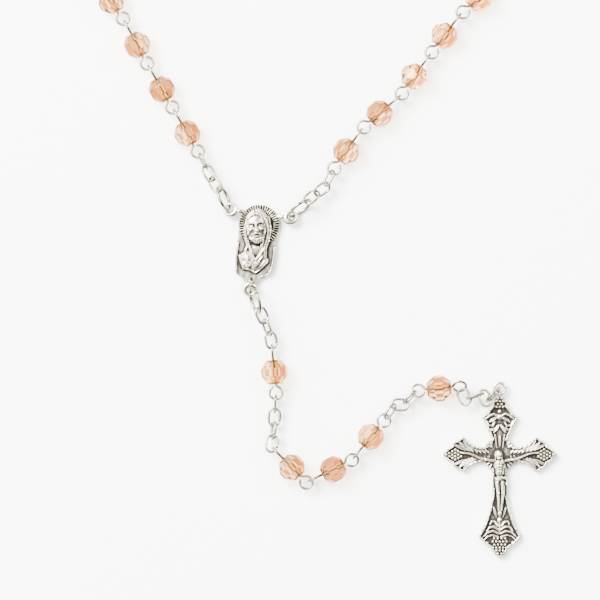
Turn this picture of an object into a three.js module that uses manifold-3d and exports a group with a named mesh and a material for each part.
// A five-decade rosary of faceted glass beads, laid flat in the XY plane.
// Millimetres. The origin is the middle of the centre medal's flat back, +Z is up, +Y runs up the loop.
import * as THREE from 'three';
import { mergeVertices } from 'three/addons/utils/BufferGeometryUtils.js';
import ManifoldModule from 'manifold-3d';

const wasm = await ManifoldModule();
wasm.setup();

// ---------- driving dimensions ----------
const CLEARANCE = 0.2;             // between two interlocked wires
const BEAD = { diameter: 6.0, length: 5.8, bore: 1.0 };
const BEAD_HEIGHT = BEAD.diameter / 2;

// Wire pieces. span is the distance between the centres of the wire at the two ends, bend is the
// mean radius of the round end, wire is the wire's radius and facets are the steps round the loop.
const EYE = { bend: 1.5, wire: 0.31, facets: 10 };
const PIN = { span: 12.92, bend: EYE.bend, wire: EYE.wire };
const LINK = { span: 4.0, bend: 1.33, wire: 0.31, facets: 12 };
const JUMP_RING = { span: 5.95, bend: 2.975, wire: 0.375, facets: 18 };
const CROSS_RING = { span: 4.3, bend: 2.15, wire: 0.35, facets: 18 };
const LUG = { bend: 1.45, wire: 0.38, height: 2.0 };
const EYELET = { bend: 1.35, wire: 0.4, height: 1.55 };

const MEDAL = {
  tilt: -7.5,                      // degrees about Z
  thickness: 2.3,
  halfWidth: 4.6,
  haloRadius: 4.9,
  haloHeight: 5.8,                 // of the halo's centre above the origin
  sideLug: [7.2, 8.5],
  bottomLug: [-0.25, -9.55],
  bridge: { width: 0.8, depth: 0.7 },
  bust: { centre: [0, -1.6, 2.3], halfAxes: [4.1, 4.1, 1.4] },
  head: { centre: [-0.3, 4.9, 2.4], halfAxes: [2.5, 4.3, 1.8] },
};

const CROSS = {
  thickness: 1.8,
  crossing: -15.75,                // of the arms' centre line, measured up from the eyelet
  shortArm: { reach: 13.0, lobe: 8.8, lobeHalf: 3.73, waist: 4.4, waistHalf: 1.6 },
  longArm: { reach: 24.35, lobe: 19.3, lobeHalf: 4.6, waist: 7.2, waistHalf: 1.5 },
  centreHalf: 2.2,
  neck: { centre: [0, -2.9, 1.2], halfAxes: [1.2, 1.5, 1.2] },
};

// The figure on the crucifix: x, and y up from the crossing, with depth above the cross's face.
const CORPUS = {
  hand: [8.2, 0.55, 0.3],
  shoulder: [0, -1.85, 0.5],
  hip: [0, -7.65, 0.2],
  foot: [0.2, -14.65, 0.2],
  armRadius: 0.5,
  legRadius: 0.8,
  torso: { centre: [0, -4.25, 0], halfAxes: [1.5, 3.6, 1.3] },
  head: { centre: [-0.3, 0.05, 0.4], halfAxes: [1.0, 1.3, 1.1] },
};

// ---------- materials ----------
const glass = new THREE.MeshStandardMaterial({ color: 0xe8b08f, roughness: 0.05, metalness: 0.0 });
const silver = new THREE.MeshStandardMaterial({ color: 0xe6e2d8, roughness: 0.2, metalness: 1.0 });
const antiqueSilver = new THREE.MeshStandardMaterial({ color: 0xb9b7b2, roughness: 0.32, metalness: 1.0 });

// ---------- solids ----------
const rad = THREE.MathUtils.degToRad;

function toSolid(geometry) {
  const bare = geometry.index ? geometry.toNonIndexed() : geometry.clone();
  bare.deleteAttribute('normal');
  bare.deleteAttribute('uv');
  const merged = mergeVertices(bare, 1e-4);
  return new wasm.Manifold(new wasm.Mesh({
    numProp: 3,
    vertProperties: new Float32Array(merged.attributes.position.array),
    triVerts: new Uint32Array(merged.index.array),
  }));
}

function toGeometry(solid) {
  const mesh = solid.getMesh();
  const geometry = new THREE.BufferGeometry();
  geometry.setAttribute('position', new THREE.BufferAttribute(mesh.vertProperties, 3));
  geometry.setIndex(new THREE.BufferAttribute(mesh.triVerts, 1));
  geometry.computeVertexNormals();
  return geometry;
}

function union(geometries) {
  return toGeometry(geometries.map(toSolid).reduce((sum, next) => sum.add(next)));
}

// A round wire ring in the XY plane whose first and last wire centres are at x = 0 and x = span.
// The two halves are drawn apart when the span is longer than a circle.
function wireLoop({ span, bend, wire, facets }, sides = 5) {
  const geometry = new THREE.TorusGeometry(bend, wire, sides, facets);
  const stretch = span / 2 - bend;
  const position = geometry.attributes.position;
  for (let i = 0; i < position.count; i += 1) {
    const x = position.getX(i);
    const side = Math.abs(x) < 1e-4 ? 0 : Math.sign(x);
    position.setX(i, x + side * stretch + span / 2);
  }
  return geometry;
}

function eyeLoop(roll, start, facets = EYE.facets) {
  const eye = wireLoop({ span: 2 * EYE.bend, ...EYE, facets });
  return eye.rotateX(rad(roll)).translate(start, 0, 0);
}

function rodAlongX(from, to, radius, sides = 6) {
  const rod = new THREE.CylinderGeometry(radius, radius, to - from, sides);
  return rod.rotateZ(-Math.PI / 2).translate((from + to) / 2, 0, 0);
}

function ellipsoid({ centre, halfAxes }, segments = 12) {
  const ball = new THREE.SphereGeometry(1, segments, Math.ceil(segments * 0.6));
  return ball.scale(...halfAxes).translate(...centre);
}

// ---------- beads and wire pieces ----------
// A faceted bead along X with its bore, its middle at x = 0.
function beadGeometry(segments = 8) {
  const half = BEAD.length / 2;
  const r = BEAD.diameter / 2;
  const bore = BEAD.bore / 2;
  const profile = [
    [bore, -half], [0.62 * r, -0.9 * half], [r, -0.33 * half],
    [r, 0.33 * half], [0.62 * r, 0.9 * half], [bore, half], [bore, -half],
  ].map(([radius, along]) => new THREE.Vector2(radius, along));
  return new THREE.LatheGeometry(profile, segments).rotateZ(-Math.PI / 2);
}

// The same bead without its bore, for strands that are one piece.
function solidBeadGeometry(segments = 6) {
  const half = BEAD.length / 2;
  const r = BEAD.diameter / 2;
  const profile = [[0, -half], [0.7 * r, -0.8 * half], [r, 0], [0.7 * r, 0.8 * half], [0, half]]
    .map(([radius, along]) => new THREE.Vector2(radius, along));
  return new THREE.LatheGeometry(profile, segments).rotateZ(-Math.PI / 2);
}

// A straight wire with a closed eye at each end, its first wire centre at x = 0.
function pinGeometry(firstRoll, lastRoll) {
  const inner = 2 * EYE.bend;
  return union([
    eyeLoop(firstRoll, 0),
    eyeLoop(lastRoll, PIN.span - inner),
    rodAlongX(inner - EYE.wire / 2, PIN.span - inner + EYE.wire / 2, EYE.wire),
  ]);
}

// ---------- centre medal ----------
function medalPlateOutline() {
  const { halfWidth: w } = MEDAL;
  const shape = new THREE.Shape();
  shape.moveTo(w, 6);
  shape.lineTo(w, -2.4);
  shape.quadraticCurveTo(w - 0.3, -5.2, 1.9, -6.6);
  shape.lineTo(1.2, -8.4);
  shape.lineTo(-1.5, -8.4);
  shape.lineTo(-1.9, -6.6);
  shape.quadraticCurveTo(-w + 0.3, -5.2, -w, -2.4);
  shape.lineTo(-w, 6);
  return shape;
}

function lug([x, y]) {
  return new THREE.TorusGeometry(LUG.bend, LUG.wire, 6, 16).translate(x, y, LUG.height);
}

function medalGeometry() {
  const plate = new THREE.ExtrudeGeometry(medalPlateOutline(), {
    depth: MEDAL.thickness, bevelEnabled: false, curveSegments: 4,
  });
  const halo = new THREE.CylinderGeometry(MEDAL.haloRadius, MEDAL.haloRadius, MEDAL.thickness, 24);
  halo.rotateX(Math.PI / 2).translate(0, MEDAL.haloHeight, MEDAL.thickness / 2);
  const [lugX, lugY] = MEDAL.sideLug;
  const bridge = new THREE.BoxGeometry(2 * (lugX - LUG.bend), MEDAL.bridge.width, MEDAL.bridge.depth);
  bridge.translate(0, lugY, LUG.height);
  return union([
    plate, halo, bridge, ellipsoid(MEDAL.bust), ellipsoid(MEDAL.head),
    lug([lugX, lugY]), lug([-lugX, lugY]), lug(MEDAL.bottomLug),
  ]);
}

// ---------- crucifix ----------
// One arm along +X: in from the waist, out to the two lobes, and on to the pointed tip.
function armOutline({ reach, lobe, lobeHalf, waist, waistHalf }) {
  const shape = new THREE.Shape();
  shape.moveTo(0, -CROSS.centreHalf);
  shape.quadraticCurveTo(waist * 0.6, -waistHalf, waist, -waistHalf);
  shape.quadraticCurveTo(lobe * 0.85, -waistHalf, lobe, -lobeHalf);
  shape.quadraticCurveTo(lobe + 1.2, -lobeHalf * 0.35, reach, 0);
  shape.quadraticCurveTo(lobe + 1.2, lobeHalf * 0.35, lobe, lobeHalf);
  shape.quadraticCurveTo(lobe * 0.85, waistHalf, waist, waistHalf);
  shape.quadraticCurveTo(waist * 0.6, waistHalf, 0, CROSS.centreHalf);
  return shape;
}

function arm(dimensions, angle) {
  const geometry = new THREE.ExtrudeGeometry(armOutline(dimensions), {
    depth: CROSS.thickness, bevelEnabled: false, curveSegments: 3,
  });
  return geometry.rotateZ(rad(angle)).translate(0, CROSS.crossing, 0);
}

function limb(from, to, radius) {
  const a = new THREE.Vector3(...from);
  const b = new THREE.Vector3(...to);
  const rod = new THREE.CylinderGeometry(radius, radius, a.distanceTo(b), 6);
  const along = b.clone().sub(a).normalize();
  rod.applyQuaternion(new THREE.Quaternion().setFromUnitVectors(new THREE.Vector3(0, 1, 0), along));
  return rod.translate(...a.add(b).multiplyScalar(0.5).toArray());
}

function corpus() {
  const { hand, shoulder, hip, foot, armRadius, legRadius, torso, head } = CORPUS;
  const leftHand = [-hand[0], hand[1], hand[2]];
  const pieces = [
    limb(leftHand, shoulder, armRadius), limb(hand, shoulder, armRadius), limb(hip, foot, legRadius),
    ellipsoid(torso, 10), ellipsoid(head, 10),
  ];
  return pieces.map((piece) => piece.translate(0, CROSS.crossing, CROSS.thickness));
}

function crucifixGeometry() {
  const eyelet = new THREE.TorusGeometry(EYELET.bend, EYELET.wire, 6, 14).translate(0, 0, EYELET.height);
  return union([
    arm(CROSS.shortArm, 0), arm(CROSS.shortArm, 90), arm(CROSS.shortArm, 180), arm(CROSS.longArm, -90),
    eyelet, ellipsoid(CROSS.neck, 10), ...corpus(),
  ]);
}

// ---------- walking along the chain ----------
// A joint between two interlocked wires is a group at the point they turn about. A chain piece is
// laid by its heading (degrees from +X), the roll of its loop and the height its far end lies at.
const flatDirection = (heading) => new THREE.Vector3(Math.cos(rad(heading)), Math.sin(rad(heading)), 0);

function mesh(name, geometry, material) {
  const made = new THREE.Mesh(geometry, material);
  made.name = name;
  return made;
}

function hold(parent, child, position) {
  child.position.copy(position).sub(parent.userData.pivot);
  return parent.add(child);
}

function joint(parent, pivot) {
  const group = new THREE.Group();
  group.userData.pivot = pivot.clone();
  hold(parent, group, pivot);
  return group;
}

// A loop stands upright when its roll is more than 45 degrees from flat.
const isUpright = (roll) => Math.abs(Math.sin(rad(roll))) > Math.SQRT1_2;

// Where the next piece's first wire lies inside the loop that the chain ends in. An upright loop is
// pulled straight ahead, and a flat loop is pulled towards where the next piece goes.
function nextStart(end, heading, wire) {
  const pull = flatDirection(isUpright(end.roll) ? end.heading : heading);
  const outer = end.centre.clone().addScaledVector(pull, end.bend * end.shortening).setZ(end.height);
  const gap = end.wire + wire + CLEARANCE;
  return { outer, start: outer.clone().addScaledVector(flatDirection(heading), -gap) };
}

// Places one piece after another without making it: its first wire, its turn and the loop it ends in.
function layPiece(end, size, { heading, roll, rise, lastRoll = roll }) {
  const { outer, start } = nextStart(end, heading, size.wire);
  const pitch = Math.asin((rise - start.z) / size.span);
  const turn = new THREE.Euler(rad(roll), -pitch, rad(heading), 'ZYX');
  const along = new THREE.Vector3(1, 0, 0).applyEuler(turn);
  return {
    start, turn, along,
    pivot: isUpright(end.roll) ? outer : start,
    end: {
      group: end.group, heading, roll: lastRoll, bend: size.bend, wire: size.wire,
      height: rise, shortening: Math.cos(pitch),
      centre: start.clone().addScaledVector(along, size.span - size.bend),
    },
  };
}

function layJointed(end, size, lay) {
  const piece = layPiece(end, size, lay);
  piece.end.group = joint(end.group, piece.pivot);
  return piece;
}

function placeOn(piece, made, turn) {
  made.rotation.copy(turn);
  hold(piece.end.group, made, piece.start);
}

function addLoop(end, name, size, lay) {
  const piece = layJointed(end, size, lay);
  placeOn(piece, mesh(name, union([wireLoop(size)]), silver), piece.turn);
  return piece.end;
}

// A bead on its pin: the pin joins the chain, and the bead turns on the pin.
function addBead(end, name, lay) {
  const piece = layJointed(end, PIN, { ...lay, rise: BEAD_HEIGHT });
  const turn = piece.turn.clone();
  turn.x = 0;
  placeOn(piece, mesh(`${name}_pin`, pinGeometry(lay.roll, lay.lastRoll), silver), turn);
  const middle = piece.start.clone().addScaledVector(piece.along, PIN.span / 2);
  const spin = joint(piece.end.group, middle);
  const bead = mesh(`${name}_bead`, union([beadGeometry()]), glass);
  bead.rotation.copy(turn);
  spin.add(bead);
  return piece.end;
}

// ---------- how the rosary lies ----------
// Links are [heading, roll, height of the far end]; beads are [name, heading, first roll, last roll].
function addLinks(end, prefix, links) {
  return links.reduce((tail, [heading, roll, rise], i) => (
    addLoop(tail, `${prefix}_link_${i + 1}`, LINK, { heading, roll, rise })
  ), end);
}

function addBeads(end, beads) {
  return beads.reduce((tail, [name, heading, roll, lastRoll]) => (
    addBead(tail, name, { heading, roll, lastRoll })
  ), end);
}

function lugEnd(root, [x, y]) {
  const centre = new THREE.Vector3(x, y, LUG.height);
  centre.applyAxisAngle(new THREE.Vector3(0, 0, 1), rad(MEDAL.tilt));
  const end = { group: root, heading: 0, roll: 0, bend: LUG.bend, wire: LUG.wire, centre };
  return { ...end, height: LUG.height, shortening: 1 };
}

function addPendant(root) {
  let end = lugEnd(root, MEDAL.bottomLug);
  end = addLoop(end, 'pendant_ring', JUMP_RING, { heading: -65, roll: 70, rise: 4.5 });
  end = addLinks(end, 'medal_gap', [[-64, -25, 3.8], [-69, 60, 3.3], [-78, -20, 3.0]]);
  end = addBeads(end, [['our_father_1', -85, 90, 0]]);
  end = addLinks(end, 'upper_gap', [[-94, 90, 2.4], [-93, 0, 2.1], [-95, 70, 2.4], [-99, 0, 3.0]]);
  end = addBeads(end, [
    ['hail_mary_1', -46, 90, 0], ['hail_mary_2', 26, 90, 15], ['hail_mary_3', 51, -90, 0],
  ]);
  end = addLinks(end, 'lower_gap', [[55, 60, 2.5], [-3, -10, 2.5], [48, 75, 3.0]]);
  end = addBeads(end, [['our_father_2', 6, -15, 40]]);
  end = addLinks(end, 'cross_gap', [[-67, 10, 3.2], [18, 80, 3.5], [-69, -20, 3.7]]);
  end = addLoop(end, 'crucifix_ring', CROSS_RING, { heading: 41, roll: 80, rise: EYELET.height - 0.3 });
  addCrucifix(end);
}

function addCrucifix(end) {
  const { outer } = nextStart(end, end.heading, EYELET.wire);
  const gap = end.wire + EYELET.wire + CLEARANCE;
  const centre = outer.clone().addScaledVector(flatDirection(end.heading), EYELET.bend - gap).setZ(0);
  hold(joint(end.group, outer), mesh('crucifix', crucifixGeometry(), antiqueSilver), centre);
}

// The far part of the loop is made of strands: beads on one stiff wire with an eye at each end.
// In a strand's order b is a bead and o an Our Father bead between two short chains of links.
// The far loop's heading follows first + linear * m + square * m * m over each 300 mm of chain.
const FAR_LOOP = {
  left: { first: 121, linear: 5.5, square: -126.4, strands: ['bbbbbbob', 'bbbbbbbb', 'bobbbbb'] },
  right: { first: 48, linear: 71.0, square: 52.8, strands: ['bbbbbob', 'bbbbbbbb', 'bobbbbb'] },
};
const FAR_LENGTH = 300;
const CHAIN_OF_LINKS = [LINK, LINK, LINK];
const STRAND_FACETS = 8;

function strandPieces(order) {
  return [...order].flatMap((kind) => (kind === 'b' ? [PIN] : [...CHAIN_OF_LINKS, PIN, ...CHAIN_OF_LINKS]));
}

function addStrand(end, name, order, curve, distance) {
  const sizes = strandPieces(order);
  const parts = [];
  let travelled = distance;
  let tail = end;
  let first;
  sizes.forEach((size, i) => {
    const m = (travelled + size.span / 2) / FAR_LENGTH;
    const heading = curve.first + curve.linear * m + curve.square * m * m;
    const isFirst = i === 0;
    const isLast = i === sizes.length - 1;
    const lastRoll = size === PIN ? 90 : 0;
    const piece = layPiece(tail, size, { heading, roll: 0, lastRoll, rise: BEAD_HEIGHT });
    first = first ?? piece;
    tail = piece.end;
    travelled += size.span - 2 * size.wire - CLEARANCE;
    const eye = 2 * EYE.bend - EYE.wire / 2;
    const made = [rodAlongX(isFirst ? eye : 0, size.span - (isLast ? eye : 0), size.wire, 4)];
    if (size === PIN) made.push(solidBeadGeometry().translate(size.span / 2, 0, 0));
    if (isFirst) made.push(eyeLoop(0, 0, STRAND_FACETS));
    if (isLast) made.push(eyeLoop(90, size.span - 2 * EYE.bend, STRAND_FACETS));
    const offset = piece.start.clone().sub(first.start);
    made.forEach((part) => parts.push(part.rotateZ(rad(heading)).translate(...offset.toArray())));
  });
  const group = joint(end.group, first.pivot);
  hold(group, mesh(name, union(parts), glass), first.start);
  tail.group = group;
  return { end: tail, distance: travelled };
}

function addFarLoop(end, side) {
  const curve = FAR_LOOP[side];
  let state = { end, distance: 0 };
  curve.strands.forEach((order, i) => {
    state = addStrand(state.end, `${side}_strand_${i + 1}`, order, curve, state.distance);
  });
}

function addLeftHalf(root) {
  let end = lugEnd(root, [-MEDAL.sideLug[0], MEDAL.sideLug[1]]);
  end = addLoop(end, 'left_ring', JUMP_RING, { heading: 121, roll: 70, rise: 4.5 });
  end = addLinks(end, 'left_gap', [[122, -30, 3.8], [118, 30, 3.3], [117, -80, 3.0]]);
  end = addBeads(end, [
    ['left_1', 120, 0, 90], ['left_2', 120, 0, 90], ['left_3', 118, 0, 90], ['left_4', 123, 0, 90],
  ]);
  addFarLoop(end, 'left');
}

function addRightHalf(root) {
  let end = lugEnd(root, MEDAL.sideLug);
  end = addLoop(end, 'right_ring', JUMP_RING, { heading: 45, roll: 70, rise: 4.5 });
  end = addLinks(end, 'right_gap', [[41, -30, 3.8], [36, 30, 3.3], [64, -60, 3.0]]);
  end = addBeads(end, [
    ['right_1', 55, 0, 90], ['right_2', 41, 0, 90], ['right_3', 54, 0, 90],
    ['right_4', 53, 0, 90], ['right_5', 41, 0, 90],
  ]);
  addFarLoop(end, 'right');
}

function rosary() {
  const root = new THREE.Group();
  root.userData.pivot = new THREE.Vector3();
  const medal = mesh('centre_medal', medalGeometry(), antiqueSilver);
  medal.rotation.z = rad(MEDAL.tilt);
  root.add(medal);
  addPendant(root);
  addLeftHalf(root);
  addRightHalf(root);
  return root;
}

export default rosary();
